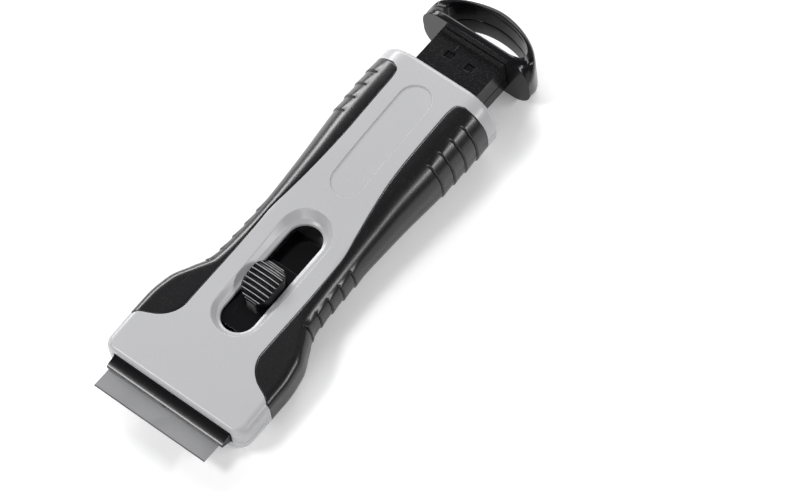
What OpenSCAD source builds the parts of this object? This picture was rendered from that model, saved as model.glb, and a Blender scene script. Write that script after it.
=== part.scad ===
// Ceramic hob scraper with a sliding blade and a pull-out drawer of spare blades.
// The modules measure Y from the cutting edge of the working blade, then from_edge() moves them
// to the part's origin, which is on the rest plane under the middle of the whole length.

/* [Overall] */
// Length from the cutting edge to the end of the loop, as stored
overall_l = 154; // [152:0.5:158]

/* [Handle] */
// Distance from the cutting edge to the front face of the handle
nose_y = 9.9; // [9.4:0.1:10.4]
// Distance from the cutting edge to the rear face of the handle
tail_y = 126.2; // [125.8:0.1:126.6]
// Width of the handle across its nose
nose_w = 49.5; // [48:0.5:51]
// Width of the handle at its waist
waist_w = 35; // [34:0.5:36]
// Width of the handle at its tail
tail_w = 39.5; // [38.5:0.5:40.5]
// Height of the handle at its nose
nose_h = 11.6; // [11.4:0.1:12]
// Height of the handle at its tail
tail_h = 21; // [20.5:0.1:21.5]
// Plan radius of the two nose corners
nose_corner_r = 3.4; // [2.4:0.2:3.8]
// Wall of the shells on top and below
wall_t = 2.2; // [2:0.1:2.3]
// Wall of the shells and grips together, at the sides
side_t = 3; // [2.8:0.1:3.2]
// Thickness of the soft grips
grip_t = 1.2; // [0.8:0.1:1.3]
// How far the lip of each finger ridge stands out
ridge_out = 0.4; // [0:0.1:0.6]
// Depth of the bare label recess
label_depth = 0.3; // [0.1:0.1:0.6]

/* [Window] */
// Width of the slot that the button runs in
slot_w = 10.6; // [10.4:0.1:11]
// Front end of the slot, from the cutting edge
slot_front = 33.2; // [32.8:0.1:33.6]
// Rear end of the slot, from the cutting edge
slot_rear = 71.3; // [70.8:0.1:71.8]
// Width of the sunk rim around the slot
rim_w = 16.6; // [16:0.2:17.4]

/* [Blade] */
// Length of the cutting edge
blade_w = 39; // [38:0.5:39.5]
// Depth of the blade from its cutting edge to its back
blade_l = 18.4; // [18:0.1:18.6]
// Thickness of the blade's steel
blade_t = 0.25; // [0.2:0.01:0.3]
// Height of the blade's middle above the rest plane
blade_z = 7.3; // [7.2:0.05:7.4]
// Depth of the folded steel back
spine_l = 5.5; // [5:0.1:5.8]
// Thickness of the folded steel back
spine_t = 1; // [0.9:0.05:1]

/* [Carriage] */
// Width of the two jaws
jaw_w = 40.8; // [40.4:0.1:41]
// Front lip of the jaws, from the cutting edge
lip_y = 6.3; // [6:0.1:6.6]
// Height of the top of the clamp
clamp_top = 9.2; // [9:0.1:9.3]
// Rear end of the tongue, from the cutting edge
tongue_end = 69.5; // [68:0.5:70]
// Width of the tongue under the window
tongue_w = 12.4; // [12:0.1:12.6]

/* [Button] */
// Width of the thumb button
button_w = 10; // [9.6:0.1:10]
// Front of the thumb button, from the cutting edge
button_front = 42.9; // [42.8:0.1:43]
// Rear of the thumb button, from the cutting edge
button_rear = 55.2; // [55:0.1:55.3]
// Height of the top of the thumb button
button_top = 15.9; // [15.6:0.1:16.2]
// How far the button presses down
button_travel = 1.2; // [1:0.1:1.2]
// Number of ridges across the button
button_ridges = 8; // [6:1:8]
// Distance from one ridge to the next
ridge_pitch = 1.5; // [1.4:0.05:1.55]

/* [Drawer] */
// Width of the drawer
drawer_w = 21.5; // [21.3:0.1:21.5]
// Length of the drawer behind its end cap
drawer_l = 42.2; // [41.8:0.1:42.4]
// Underside of the drawer above the rest plane
drawer_bottom = 4.7; // [4.6:0.1:4.8]
// Top of the drawer's lid above the rest plane
drawer_top = 15.9; // [15.7:0.1:16]
// Height of the joint between tray and lid
parting_z = 9; // [8.8:0.1:9.2]
// Wall of the tray and its lid
drawer_t = 1.2; // [1.1:0.05:1.2]
// Length of the lid over the outer end of the tray
lid_l = 18.5; // [18:0.5:20]
// How far the drawer is pulled out, as stored
pulled_out = 14.3; // [14:0.1:14.5]

/* [End cap and loop] */
// Width of the end cap
cap_w = 37.6; // [37.2:0.1:38]
// Height of the end cap
cap_h = 19.2; // [19:0.1:19.4]
// Corner radius of the end cap, seen along the handle
cap_corner_r = 7.5; // [7:0.5:8]
// Thickness of the end cap at the loop's hole
cap_t = 2; // [1.8:0.1:2.4]
// Width of the loop's hole
hole_w = 27.8; // [27:0.2:28.2]
// Radius of the hole's front corners
hole_corner_r = 3; // [2.5:0.1:3.5]
// Thickness of the loop's band at its far end
band_t = 2.7; // [2.5:0.1:3]
// Height of the loop's band at its far end
band_h = 12.7; // [12:0.1:13]

/* [Spares] */
// Number of spare blades in the drawer
spare_count = 4; // [4:1:4]

/* [Hidden] */
$fn = 48;

eps = 0.01;
fit = 0.3;
arc_steps = 6;
flat_steps = 4;
bond_gap = 0.03;
cap_front = tail_y + pulled_out;
drawer_front = cap_front - drawer_l;
mouth_w = drawer_w + 2 * fit;
nose_top_r = 1.2;
tail_corner_r = 2.2;
tail_edge_r = 1.2;
low_edge_r = 0.8;

// Half width, height and edge radii of the handle at distances from the cutting edge.
half_widths = [
    [nose_y, nose_w / 2], [28, nose_w / 2], [36, nose_w / 2 - 1.05], [42.5, nose_w / 2 - 4.05],
    [48, waist_w / 2 + 0.7], [55, waist_w / 2 + 0.2], [66, waist_w / 2], [85, waist_w / 2 + 0.6],
    [105, tail_w / 2 - 0.35], [tail_y, tail_w / 2]
];
heights = [
    [nose_y, nose_h], [20, nose_h + 0.7], [35, nose_h + 1.4], [50, nose_h + 1.7], [60, nose_h + 2.3],
    [75, nose_h + 4.4], [92, tail_h - 2.2], [105, tail_h - 1], [116, tail_h - 0.25], [tail_y, tail_h]
];
top_radii = [[nose_y, 2.6], [30, 3], [50, 4.5], [60, 5.2], [75, 6.5], [92, 8], [tail_y, 9]];
low_radii = [[nose_y, 5.5], [30, 6], [50, 7.4], [75, 8.2], [92, 8.8], [tail_y, 9.4]];
// Half width of the light grey band between the grips.
grip_edges = [
    [21.5, 24.2], [22, 23.3], [23, 21.8], [23.8, 20], [25, 17.6], [27.2, 15.1], [29.3, 13.8], [32, 13.1],
    [66, 13.1], [75, 11.9], [82, 10.9], [92, 9.9], [100, 9.6], [116, 9.6], [119.4, 10], [120.6, 11],
    [121.2, 12.5]
];
front_ridges = [46, 51, 56, 61, 66];
rear_ridges = [101.8, 106.65, 111.5, 116.35];
// Distances at which the shells and the grips share a section, so that they lie flush.
shared_stations = [
    22.2, 23, 24, 26, 29, 33, 37, 41, 44, each front_ridges,
    70.95, 75, 82, 90, 98, each rear_ridges, 120, 120.7
];
screw_x = 9.6;
screw_ys = [50, 79];
jaw_screw_x = 14;
jaw_screw_y = 21.6;
button_mid = (button_front + button_rear) / 2;

// Smooth curve through a list of [distance, value] pairs that never overshoots them.
function rise(t, i) = (t[i + 1][1] - t[i][1]) / (t[i + 1][0] - t[i][0]);
function slope(t, i) =
    i == 0 || i == len(t) - 1 ? 0 :
    rise(t, i - 1) * rise(t, i) <= 0 ? 0 :
    2 / (1 / rise(t, i - 1) + 1 / rise(t, i));
function span(t, y, i = 0) = i >= len(t) - 2 || y < t[i + 1][0] ? i : span(t, y, i + 1);
function blend(t, i, u, d) =
    (2 * u ^ 3 - 3 * u ^ 2 + 1) * t[i][1] + (u ^ 3 - 2 * u ^ 2 + u) * d * slope(t, i)
    + (3 * u ^ 2 - 2 * u ^ 3) * t[i + 1][1] + (u ^ 3 - u ^ 2) * d * slope(t, i + 1);
function curve(t, y) =
    let (i = span(t, y), d = t[i + 1][0] - t[i][0])
    blend(t, i, min(1, max(0, (y - t[i][0]) / d)), d);

// How far a rounded end of radius r draws in, at depth u from that end.
function drawn_in(u, r) = u >= r ? 0 : r - sqrt(max(0, r ^ 2 - (r - u) ^ 2));
function half_w(y) =
    curve(half_widths, y) - drawn_in(y - nose_y, nose_corner_r) - drawn_in(tail_y - y, tail_corner_r);
function top_z(y) =
    curve(heights, y) - drawn_in(y - nose_y, nose_top_r) - drawn_in(tail_y - y, tail_edge_r);
function low_z(y) = drawn_in(y - nose_y, low_edge_r) + drawn_in(tail_y - y, low_edge_r);
function seam_z(y) = curve(low_radii, y) + 0.9;

// The lip of the window lies in a plane that rises towards the tail.
lip_front_z = 10.9;
lip_tilt = 2.6;
lip_t = 0.7;
function lip_z(y) = lip_front_z + tan(lip_tilt) * (y - slot_front);

// The hollow inside the shells: a mouth at each end and a roomier middle, lower under the window.
function in_mouth(y) = y < nose_y + 2.2 || y > tail_y - 2.2;
function hollow_w(y) =
    y < nose_y + 2.2 ? jaw_w / 2 + fit + 0.05 :
    y > tail_y - 2.2 ? mouth_w / 2 : curve(half_widths, y) - side_t;
function hollow_top(y) =
    y < nose_y + 2.2 ? clamp_top + 0.4 :
    y > tail_y - 2.2 ? drawer_top + fit :
    y > slot_front - 7 && y < slot_rear + 6 ? min(lip_z(y) - lip_t, curve(heights, y) - wall_t) :
    max(clamp_top + 0.4, curve(heights, y) - wall_t);
function hollow_low(y) = in_mouth(y) ? drawer_bottom - fit : 2;

// The grips lie in pockets, which start and end square across the handle.
grip_front = grip_edges[0][0];
grip_rear = grip_edges[len(grip_edges) - 1][0];
function pocket(y) = y >= grip_front && y <= grip_rear ? grip_t : 0.02;
function grip_edge(y) = min(curve(grip_edges, y), half_w(y) - grip_t - 0.1);
function grip_low_edge(y) = max(grip_edge(y), half_w(y) - 5);

// Right half of a section's outline from the seam to near the middle, above (s = 1) or below (s = -1).
// Outside the edge it lies lower by the pocket's depth.
function outer_half(w, peak, r, seam, edge, depth, s) =
    let (
        cx = w - r, cz = peak - s * r, ri = r - depth, flat = edge < cx,
        a_in = flat ? 90 : acos((edge - cx) / ri),
        a_out = flat ? 90 : acos((edge - cx) / r)
    )
    concat(
        [[w - depth, seam]],
        [
            for (i = [0:arc_steps])
                let (a = a_in * i / (arc_steps + (flat ? 0 : 0.5)))
                [cx + ri * cos(a), cz + s * ri * sin(a)]
        ],
        [[edge, cz + s * ri * sin(a_in)], [edge, cz + s * r * sin(a_out)]],
        [
            for (k = [1:flat_steps])
                let (a = a_out + (90 - a_out) * k / flat_steps)
                flat ? [edge * (1 - k / (flat_steps + 1)), peak] : [cx + r * cos(a), cz + s * r * sin(a)]
        ]
    );
// The same number of points for the hollow.
function inner_half(w, peak, r, seam, s) =
    concat(
        [[w, seam]],
        [
            for (i = [0:arc_steps + 2])
                let (a = 90 * i / (arc_steps + 2))
                [w - r + r * cos(a), peak - s * r + s * r * sin(a)]
        ],
        [for (k = [1:flat_steps]) [(w - r) * (1 - k / (flat_steps + 1)), peak]]
    );
function with_mirror(run) = concat(run, [for (i = [len(run) - 1:-1:0]) [-run[i][0], run[i][1]]]);

function outer_top(y) = with_mirror(
    outer_half(half_w(y), top_z(y), curve(top_radii, y), seam_z(y), grip_edge(y), pocket(y), 1)
);
function outer_low(y) = with_mirror(
    outer_half(half_w(y), low_z(y), curve(low_radii, y), seam_z(y), grip_low_edge(y), pocket(y), -1)
);
function inner_top(y) =
    let (r = in_mouth(y) ? 0.5 : max(1, curve(top_radii, y) - wall_t))
    with_mirror(inner_half(hollow_w(y), hollow_top(y), r, seam_z(y), 1));
function inner_low(y) =
    let (r = in_mouth(y) ? 0.5 : curve(low_radii, y) - wall_t)
    with_mirror(inner_half(hollow_w(y), hollow_low(y), r, seam_z(y), -1));

shell_stations = concat(
    [for (u = [0, 0.2, 0.6, 1.2, 2.19, 2.21, 3.4]) nose_y + u],
    [18, grip_front - 0.02, grip_front],
    shared_stations,
    [grip_rear, grip_rear + 0.02],
    [for (u = [2.21, 2.19, 1, 0.4, 0.1, 0]) tail_y - u]
);

// A solid between two open runs of points, one outer and one inner, at each station.
module run_pair(stations, outer, inner) {
    n = len(outer[0]);
    last = len(stations) - 1;
    points = [
        for (s = [0:last])
            for (k = [0:2 * n - 1])
                let (p = k < n ? outer[s][k] : inner[s][2 * n - 1 - k])
                [p[0], stations[s], p[1]]
    ];
    sides = [
        for (s = [0:last - 1])
            for (k = [0:2 * n - 1])
                let (a = s * 2 * n + k, b = s * 2 * n + (k + 1) % (2 * n))
                for (f = [[a, b, a + 2 * n], [b, b + 2 * n, a + 2 * n]]) f
    ];
    start = [
        for (k = [0:n - 2])
            let (a = k, b = k + 1, c = 2 * n - 2 - k, d = 2 * n - 1 - k)
            for (f = [[a, d, b], [b, d, c]]) f
    ];
    end = [for (f = start) [for (i = [2:-1:0]) f[i] + last * 2 * n]];
    polyhedron(points, concat(sides, start, end));
}

// Rounded-end shape of width w between two distances from the cutting edge.
module stadium(front, rear, w) {
    translate([-w / 2, front + w / 2]) square([w, rear - front - w]);
    for (y = [front + w / 2, rear - w / 2])
        translate([0, y]) circle(d = w);
}

module from_edge() {
    translate([0, -overall_l / 2, 0]) children();
}

module both_sides() {
    children();
    mirror([1, 0, 0]) children();
}

module box_at(x, y, z) {
    translate([x[0], y[0], z[0]]) cube([x[1] - x[0], y[1] - y[0], z[1] - z[0]]);
}

// Shape in the Y-Z plane, drawn out across the handle to width w.
module across(w) {
    rotate([90, 0, 90]) linear_extrude(w, center = true) children();
}

// The sunk rim of the window: a slanted band that follows the rising top of the handle.
module window_cut() {
    translate([0, slot_front, lip_front_z]) rotate([lip_tilt, 0, 0]) {
        translate([0, 0, -5]) linear_extrude(14) stadium(0, slot_rear - slot_front, slot_w);
        for (y = [slot_w / 2, slot_rear - slot_front - slot_w / 2])
            translate([0, y, 0]) cylinder(4, slot_w / 2, rim_w / 2 + 2.4);
        translate([0, slot_w / 2, 0]) rotate([-90, 0, 0]) linear_extrude(slot_rear - slot_front - slot_w)
            polygon([[-slot_w / 2, 0], [slot_w / 2, 0], [rim_w / 2 + 2.4, -4], [-rim_w / 2 - 2.4, -4]]);
    }
}

// The bare recess for a label: an even depth below the curved top.
module label_cut() {
    front = 80.8;
    rear = 119.7;
    r = 5;
    ys = concat(
        [for (a = [0:15:90]) front + r - r * cos(a)],
        [for (y = [89:4:109]) y],
        [for (a = [90:-15:0]) rear - r + r * cos(a)]
    );
    function half(y) = max(0.02, r - drawn_in(y - front, r) - drawn_in(rear - y, r));
    run_pair(
        ys,
        [for (y = ys) [[half(y), top_z(y) + 2], [-half(y), top_z(y) + 2]]],
        [for (y = ys) [[half(y), top_z(y) - label_depth], [-half(y), top_z(y) - label_depth]]]
    );
}

// Lip of the finger ridges: each segment flares towards the blade, then steps in.
function flare(y) =
    let (
        near_front = [for (r = front_ridges) if (y >= r && y < r + 5) 1 - (y - r) / 5],
        near_rear = [for (r = rear_ridges) if (y >= r && y < r + 4.85) 1 - (y - r) / 4.85],
        all = concat(near_front, near_rear)
    )
    len(all) > 0 ? ridge_out * all[0] : 0;

// The run of a grip's section on the right side, from its edge on top round to its edge below.
function grip_half(y, depth, lip, s) =
    let (
        w = half_w(y), peak = s > 0 ? top_z(y) : 0, r = s > 0 ? curve(top_radii, y) : curve(low_radii, y),
        edge = bond_gap + (s > 0 ? grip_edge(y) : grip_low_edge(y)),
        cx = w - r, cz = peak - s * r, flat = edge < cx,
        end = flat ? 90 : acos((edge - cx) / (r - depth))
    )
    concat(
        [
            for (i = [0:arc_steps])
                let (a = end * i / (arc_steps + (flat ? 0 : 0.5)), q = r - depth + lip * cos(a))
                [cx + q * cos(a), cz + s * q * sin(a)]
        ],
        [[edge, cz + s * (r - depth) * sin(end)]]
    );
function grip_run(y, depth, lip) =
    let (upper = grip_half(y, depth, lip, 1), lower = grip_half(y, depth, lip, -1))
    concat([for (i = [len(upper) - 1:-1:0]) upper[i]], lower);

// Each ridge has a second station just in front of its lip.
grip_stations = [
    grip_front + 0.02,
    for (y = shared_stations) each flare(y) == ridge_out ? [y - 0.12, y] : [y],
    grip_rear - 0.02
];

module grip() {
    run_pair(
        grip_stations,
        [for (y = grip_stations) grip_run(y, 0, flare(y))],
        [for (y = grip_stations) grip_run(y, grip_t - bond_gap, 0)]
    );
}

module shell_screw_places() {
    for (x = [-screw_x, screw_x], y = screw_ys)
        translate([x, y, 0]) children();
}

module upper_shell() {
    color("#c6c6c8") from_edge() difference() {
        union() {
            run_pair(
                shell_stations,
                [for (y = shell_stations) outer_top(y)],
                [for (y = shell_stations) inner_top(y)]
            );
            // Side guides of the drawer bay
            both_sides() box_at([mouth_w / 2, mouth_w / 2 + 1.3], [106, tail_y - 1], [11, tail_h - 2.4]);
            // Screw bosses
            for (x = [-screw_x, screw_x], y = screw_ys)
                translate([x, y, 8.6]) cylinder(top_z(y) - 10.4, r = 2.1);
        }
        window_cut();
        label_cut();
        shell_screw_places() translate([0, 0, 8]) cylinder(3.6, r = 0.9);
        // Notches that the button's lock teeth rise into
        both_sides() for (y = [button_mid - 8, button_mid - 1, button_mid + 12])
            box_at([5.5, 6.7], [y, y + 2], [9, 11.1]);
    }
}

module lower_shell() {
    color("#c2c2c4") from_edge() difference() {
        union() {
            run_pair(
                shell_stations,
                [for (y = shell_stations) inner_low(y)],
                [for (y = shell_stations) outer_low(y)]
            );
            // Rails under the jaws, the tongue and the drawer
            both_sides() {
                box_at([16, 17.4], [nose_y + 1, 38], [1, 4.5]);
                box_at([3.4, 4.8], [nose_y + 20, 82], [1, 4.5]);
                box_at([6, 7.4], [86, tail_y - 1], [1, drawer_bottom - fit]);
                box_at([mouth_w / 2, mouth_w / 2 + 1.3], [85, tail_y - 1], [1.5, 9.5]);
            }
            for (x = [-screw_x, screw_x], y = screw_ys)
                translate([x, y, 1]) cylinder(7.6, r = 2.5);
        }
        shell_screw_places() {
            translate([0, 0, -1]) cylinder(3, r = 2);
            cylinder(12, r = 1.05);
        }
    }
}

module right_grip() {
    color("#1c1c1e") from_edge() grip();
}

module left_grip() {
    color("#1c1c1e") from_edge() mirror([1, 0, 0]) grip();
}

// Pan-head screws driven up from below, their heads sunk in the underside.
module shell_screws() {
    color("silver") from_edge() shell_screw_places() difference() {
        union() {
            translate([0, 0, 0.6]) cylinder(1.35, r = 1.85);
            translate([0, 0, 1.5]) cylinder(9.6, r = 0.85);
        }
        for (a = [0, 90])
            rotate(a) translate([-1.2, -0.2, 0]) cube([2.4, 0.4, 1.2]);
    }
}

// Outline of the jaws and tongue from above.
module carriage_plan(rear) {
    polygon([
        [-jaw_w / 2, lip_y], [jaw_w / 2, lip_y], [jaw_w / 2, 21], [16, 25.5],
        [tongue_w / 2, rear > 30 ? 33 : 25.5], [tongue_w / 2, rear], [-tongue_w / 2, rear],
        [-tongue_w / 2, rear > 30 ? 33 : 25.5], [-16, 25.5], [-jaw_w / 2, 21]
    ]);
}

seat_z = blade_z - blade_t / 2;
spine_front = blade_l - spine_l;

module blade_holder() {
    color("#161617") from_edge() difference() {
        union() {
            intersection() {
                linear_extrude(20) carriage_plan(tongue_end);
                across(60) polygon([
                    [lip_y, seat_z], [lip_y, seat_z - 0.5], [10.6, 4.8], [tongue_end + 1, 4.8],
                    [tongue_end + 1, seat_z]
                ]);
            }
            // Boss that fills the blade's slot
            translate([0, 10.9, seat_z - 0.1]) cylinder(1, r = 1.1);
            // Seat for the button's spring
            translate([0, button_mid, seat_z - 0.1]) cylinder(1.1, r = 1.3);
        }
        box_at([-blade_w / 2 - 0.2, blade_w / 2 + 0.2], [spine_front - 0.2, blade_l + 0.2], [6.7, 8]);
        for (x = [-jaw_screw_x, jaw_screw_x])
            translate([x, jaw_screw_y, 4]) cylinder(5, r = 0.9);
    }
}

module blade_clamp() {
    color("#161617") from_edge() difference() {
        intersection() {
            linear_extrude(20) carriage_plan(25.5);
            across(60) polygon([
                [lip_y, seat_z + blade_t + 0.02], [lip_y, seat_z + blade_t + 0.4], [lip_y + 0.6, 8.15],
                [10.8, clamp_top], [25, clamp_top], [25, seat_z], [blade_l + 0.3, seat_z],
                [blade_l + 0.3, seat_z + blade_t + 0.02]
            ]);
        }
        box_at([-blade_w / 2 - 0.2, blade_w / 2 + 0.2], [spine_front - 0.2, blade_l + 0.35], [7, 7.9]);
        translate([0, 10.9, seat_z]) cylinder(1, r = 1.15);
        for (x = [-jaw_screw_x, jaw_screw_x]) translate([x, jaw_screw_y, 0]) {
            cylinder(12, r = 0.95);
            translate([0, 0, 8.3]) cylinder(2, r = 1.7);
        }
    }
}

module jaw_screws() {
    color("silver") from_edge() for (x = [-jaw_screw_x, jaw_screw_x])
        translate([x, jaw_screw_y, 0]) difference() {
            union() {
                translate([0, 0, 5]) cylinder(3.6, r = 0.85);
                translate([0, 0, 8.32]) cylinder(0.8, r = 1.6);
            }
            for (a = [0, 90])
                rotate(a) translate([-1, -0.17, 8.8]) cube([2, 0.34, 1]);
        }
}

// A single-edge blade lying flat, its cutting edge on the X axis and its middle at z 0.
module blade_steel() {
    notch_y = blade_l - spine_l - 2.6;
    difference() {
        intersection() {
            translate([-blade_w / 2, 0, -blade_t / 2]) cube([blade_w, blade_l - 0.3, blade_t]);
            // Ground bevel along the edge
            across(blade_w + 1) polygon([
                [0, 0.02], [0.9, blade_t / 2], [blade_l, blade_t / 2], [blade_l, -blade_t / 2],
                [0.9, -blade_t / 2], [0, -0.02]
            ]);
        }
        translate([0, 0, -1]) linear_extrude(2) stadium(6.1, 12.1, 2.4);
        both_sides() translate([blade_w / 2, notch_y, -1]) cylinder(2, r = 1.9);
    }
}

// The folded steel back of a blade, open along the front for the blade to enter.
module spine_steel() {
    difference() {
        translate([-blade_w / 2, spine_front, -spine_t / 2]) cube([blade_w, spine_l, spine_t]);
        translate([-blade_w / 2 - 1, spine_front - 1, -blade_t / 2 - 0.01])
            cube([blade_w + 2, spine_l + 0.72, blade_t + 0.02]);
    }
}

module blade() {
    color("#a4a5a7") from_edge() translate([0, 0, blade_z]) blade_steel();
}

module blade_spine() {
    color("#c9cacc") from_edge() translate([0, 0, blade_z]) spine_steel();
}

// Spares lie flat in the tray, turned to run along it, spines on the left.
module spare_place(i) {
    pitch = spine_t + 0.05;
    floor_z = drawer_bottom + drawer_t;
    middle_y = drawer_front + drawer_t + 0.4 + blade_w / 2;
    middle_z = floor_z + 0.05 + spine_t / 2 + (i - 1) * pitch;
    translate([blade_l / 2, middle_y, middle_z]) rotate(90) children();
}

module spare_blade(i) {
    color("#a4a5a7") from_edge() spare_place(i) blade_steel();
}

module spare_spine(i) {
    color("#c9cacc") from_edge() spare_place(i) spine_steel();
}

// Rounded rectangle made of true arcs, centred.
module round_rect(w, l, r) {
    square([w - 2 * r, l], center = true);
    square([w, l - 2 * r], center = true);
    for (x = [-1, 1], y = [-1, 1])
        translate([x * (w / 2 - r), y * (l / 2 - r)]) circle(r);
}

// Domed, ridged button on a flange that stays under the shell.
module thumb_button() {
    l = button_rear - button_front;
    flange_z = 8.7;
    flange_top = 9.6;
    flange_front = 34.6;
    // The crown lies behind the middle, so the front slopes down further
    crown_y = button_mid + 1.4;
    crown_lean = -9;
    lengthwise_r = 9.5;
    crosswise_r = 40;
    color("#0c0c0d") from_edge() difference() {
        union() {
            intersection() {
                translate([0, button_mid, flange_z]) linear_extrude(12) round_rect(button_w, l, 4);
                translate([0, crown_y, button_top - lengthwise_r]) rotate([0, 90, 0])
                    cylinder(20, r = lengthwise_r, center = true);
                translate([0, button_mid, button_top - crosswise_r]) rotate([90, 0, 0])
                    cylinder(20, r = crosswise_r, center = true);
            }
            box_at([-6.6, 6.6], [flange_front, button_rear + 2.6], [flange_z, flange_top]);
            // Lock teeth
            both_sides()
                box_at([5.6, 6.6], [button_mid - 0.8, button_mid + 0.8], [flange_z, flange_top + 0.5]);
        }
        for (i = [0:button_ridges])
            let (
                angle = crown_lean + (i - button_ridges / 2) * ridge_pitch / lengthwise_r * 180 / PI
            )
            translate([0, crown_y, button_top - lengthwise_r]) rotate([-angle, 0, 0])
                translate([0, 0, lengthwise_r]) across(20)
                polygon([[-0.45, 0.4], [0.35, 0.4], [0.1, -0.55], [-0.05, -0.55]]);
        translate([0, button_mid, flange_z - 1]) cylinder(5.3, r = 2.7);
    }
}

// Coil spring that lifts the button.
spring_r = 1.95;
spring_wire_r = 0.22;
spring_turns = 5;
spring_low = seat_z + spring_wire_r + 0.02;
spring_high = 13 - spring_wire_r - 0.02;
// Height of the coil after a turn of a degrees: half a flat turn at each end.
function coil_z(a) =
    spring_low + min(1, max(0, (a / 360 - 0.5) / (spring_turns - 1))) * (spring_high - spring_low);

module button_spring() {
    steps = 12;
    sides = 6;
    rings = [for (i = [0:spring_turns * steps]) i * 360 / steps];
    points = [
        for (a = rings)
            for (k = [0:sides - 1])
                let (b = k * 360 / sides, r = spring_r + spring_wire_r * cos(b))
                [r * cos(a), button_mid + r * sin(a), coil_z(a) + spring_wire_r * sin(b)]
    ];
    walls = [
        for (s = [0:len(rings) - 2], k = [0:sides - 1])
            let (a = s * sides + k, b = s * sides + (k + 1) % sides)
            for (f = [[a, a + sides, b], [b, a + sides, b + sides]]) f
    ];
    last = (len(rings) - 1) * sides;
    ends = concat(
        [for (k = [1:sides - 2]) [0, k, k + 1]],
        [for (k = [1:sides - 2]) [last, last + k + 1, last + k]]
    );
    color("silver") from_edge() polyhedron(points, concat(walls, ends));
}

module store_tray() {
    w = drawer_w / 2;
    color("#1a1a1b") from_edge() difference() {
        box_at([-w, w], [drawer_front, cap_front - eps], [drawer_bottom, parting_z]);
        box_at(
            [drawer_t - w, w - drawer_t],
            [drawer_front + drawer_t, cap_front + 1],
            [drawer_bottom + drawer_t, 20]
        );
        // Groove along the joint with the lid
        both_sides() box_at([w - 0.2, w + 1], [cap_front - lid_l, cap_front + 1], [parting_z - 0.2, 20]);
    }
}

window_xs = [-3.6, 3.6];
window_y = cap_front - 6.5;

module store_lid() {
    w = drawer_w / 2;
    color("#1a1a1b") from_edge() difference() {
        box_at([-w, w], [cap_front - lid_l, cap_front - eps], [parting_z + eps, drawer_top]);
        box_at(
            [drawer_t - w, w - drawer_t],
            [cap_front - lid_l - 1, cap_front + 1],
            [0, drawer_top - drawer_t]
        );
        both_sides() box_at([w - 0.2, w + 1], [cap_front - lid_l - 1, cap_front + 1], [0, parting_z + 0.2]);
        for (x = window_xs)
            translate([x, window_y, 10]) linear_extrude(10) square([2.6, 2.2], center = true);
    }
}

// The end cap and its hanging loop, one moulding, with two snap arms that hold the lid.
module pull_loop() {
    end_y = overall_l;
    mid_z = 10;
    low_z = mid_z - cap_h / 2;
    high_z = mid_z + cap_h / 2;
    plate_t = 0.8;
    band_low = 4.5;
    band_top = band_low + band_h;
    front_round = 0.5;
    // Power that draws the corners of the half ellipse in a little
    draw_in = 1.1;
    reach = end_y - cap_front;
    hole_front = cap_front + cap_t;
    hole_rear = end_y - band_t;
    hole_mid = hole_front + hole_corner_r;
    corner_x = hole_w / 2 - hole_corner_r;
    color("#0b0b0c") from_edge() difference() {
        union() {
            intersection() {
                // Seen from above: half an ellipse behind a straight plate
                linear_extrude(30) polygon(concat(
                    [[-cap_w / 2, cap_front], [cap_w / 2, cap_front]],
                    [for (a = [0:7.5:180])
                        [
                            cap_w / 2 * sign(cos(a)) * abs(cos(a)) ^ draw_in,
                            cap_front + plate_t + (reach - plate_t) * sin(a) ^ draw_in
                        ]]
                ));
                // Seen along the handle: the rounded outline of the tail
                translate([0, end_y + 1, mid_z]) rotate([90, 0, 0]) linear_extrude(reach + 2)
                    round_rect(cap_w, cap_h, cap_corner_r);
                // Seen from the side: the top drops at once to the band's, the underside rises late
                across(60) polygon([
                    [cap_front, low_z + front_round], [cap_front + front_round, low_z],
                    [hole_front + 0.5, low_z + 0.2], [end_y - 6, low_z + 1.2],
                    [end_y - 2.4, band_low - 0.9], [end_y - 0.9, band_low + 0.9],
                    [end_y, band_low + 3.4], [end_y, band_top - 3.4],
                    [end_y - 0.9, band_top - 0.9], [end_y - 2.4, band_top],
                    [end_y - 7, band_top], [hole_front + 0.5, high_z - 1.2],
                    [cap_front + front_round, high_z], [cap_front, high_z - front_round]
                ]);
            }
            // Snap arms
            for (x = window_xs) {
                box_at([x - 1.1, x + 1.1], [window_y - 0.9, cap_front + 1], [13, 14.5]);
                box_at([x - 1.1, x + 1.1], [window_y - 0.9, window_y + 0.9], [13, drawer_top - 0.3]);
            }
        }
        // The hole: straight in front, rounded at its corners, half an ellipse behind
        translate([0, 0, -1]) linear_extrude(30) polygon(concat(
            [for (a = [0:7.5:180]) [hole_w / 2 * cos(a), hole_mid + (hole_rear - hole_mid) * sin(a)]],
            [for (a = [15:15:90]) [-corner_x - hole_corner_r * cos(a), hole_mid - hole_corner_r * sin(a)]],
            [for (a = [90:-15:15]) [corner_x + hole_corner_r * cos(a), hole_mid - hole_corner_r * sin(a)]]
        ));
    }
}

upper_shell();
lower_shell();
left_grip();
right_grip();
shell_screws();
blade_holder();
blade_clamp();
jaw_screws();
blade();
blade_spine();
thumb_button();
button_spring();
store_tray();
store_lid();
pull_loop();
for (i = [1:spare_count])
    spare_blade(i);
for (i = [1:spare_count])
    spare_spine(i);
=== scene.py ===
"""Ceramic hob scraper: a grey handle with soft grips, a sliding razor blade and a drawer of spares."""

import math

import bmesh
import bpy
from mathutils import Matrix, Vector


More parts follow.
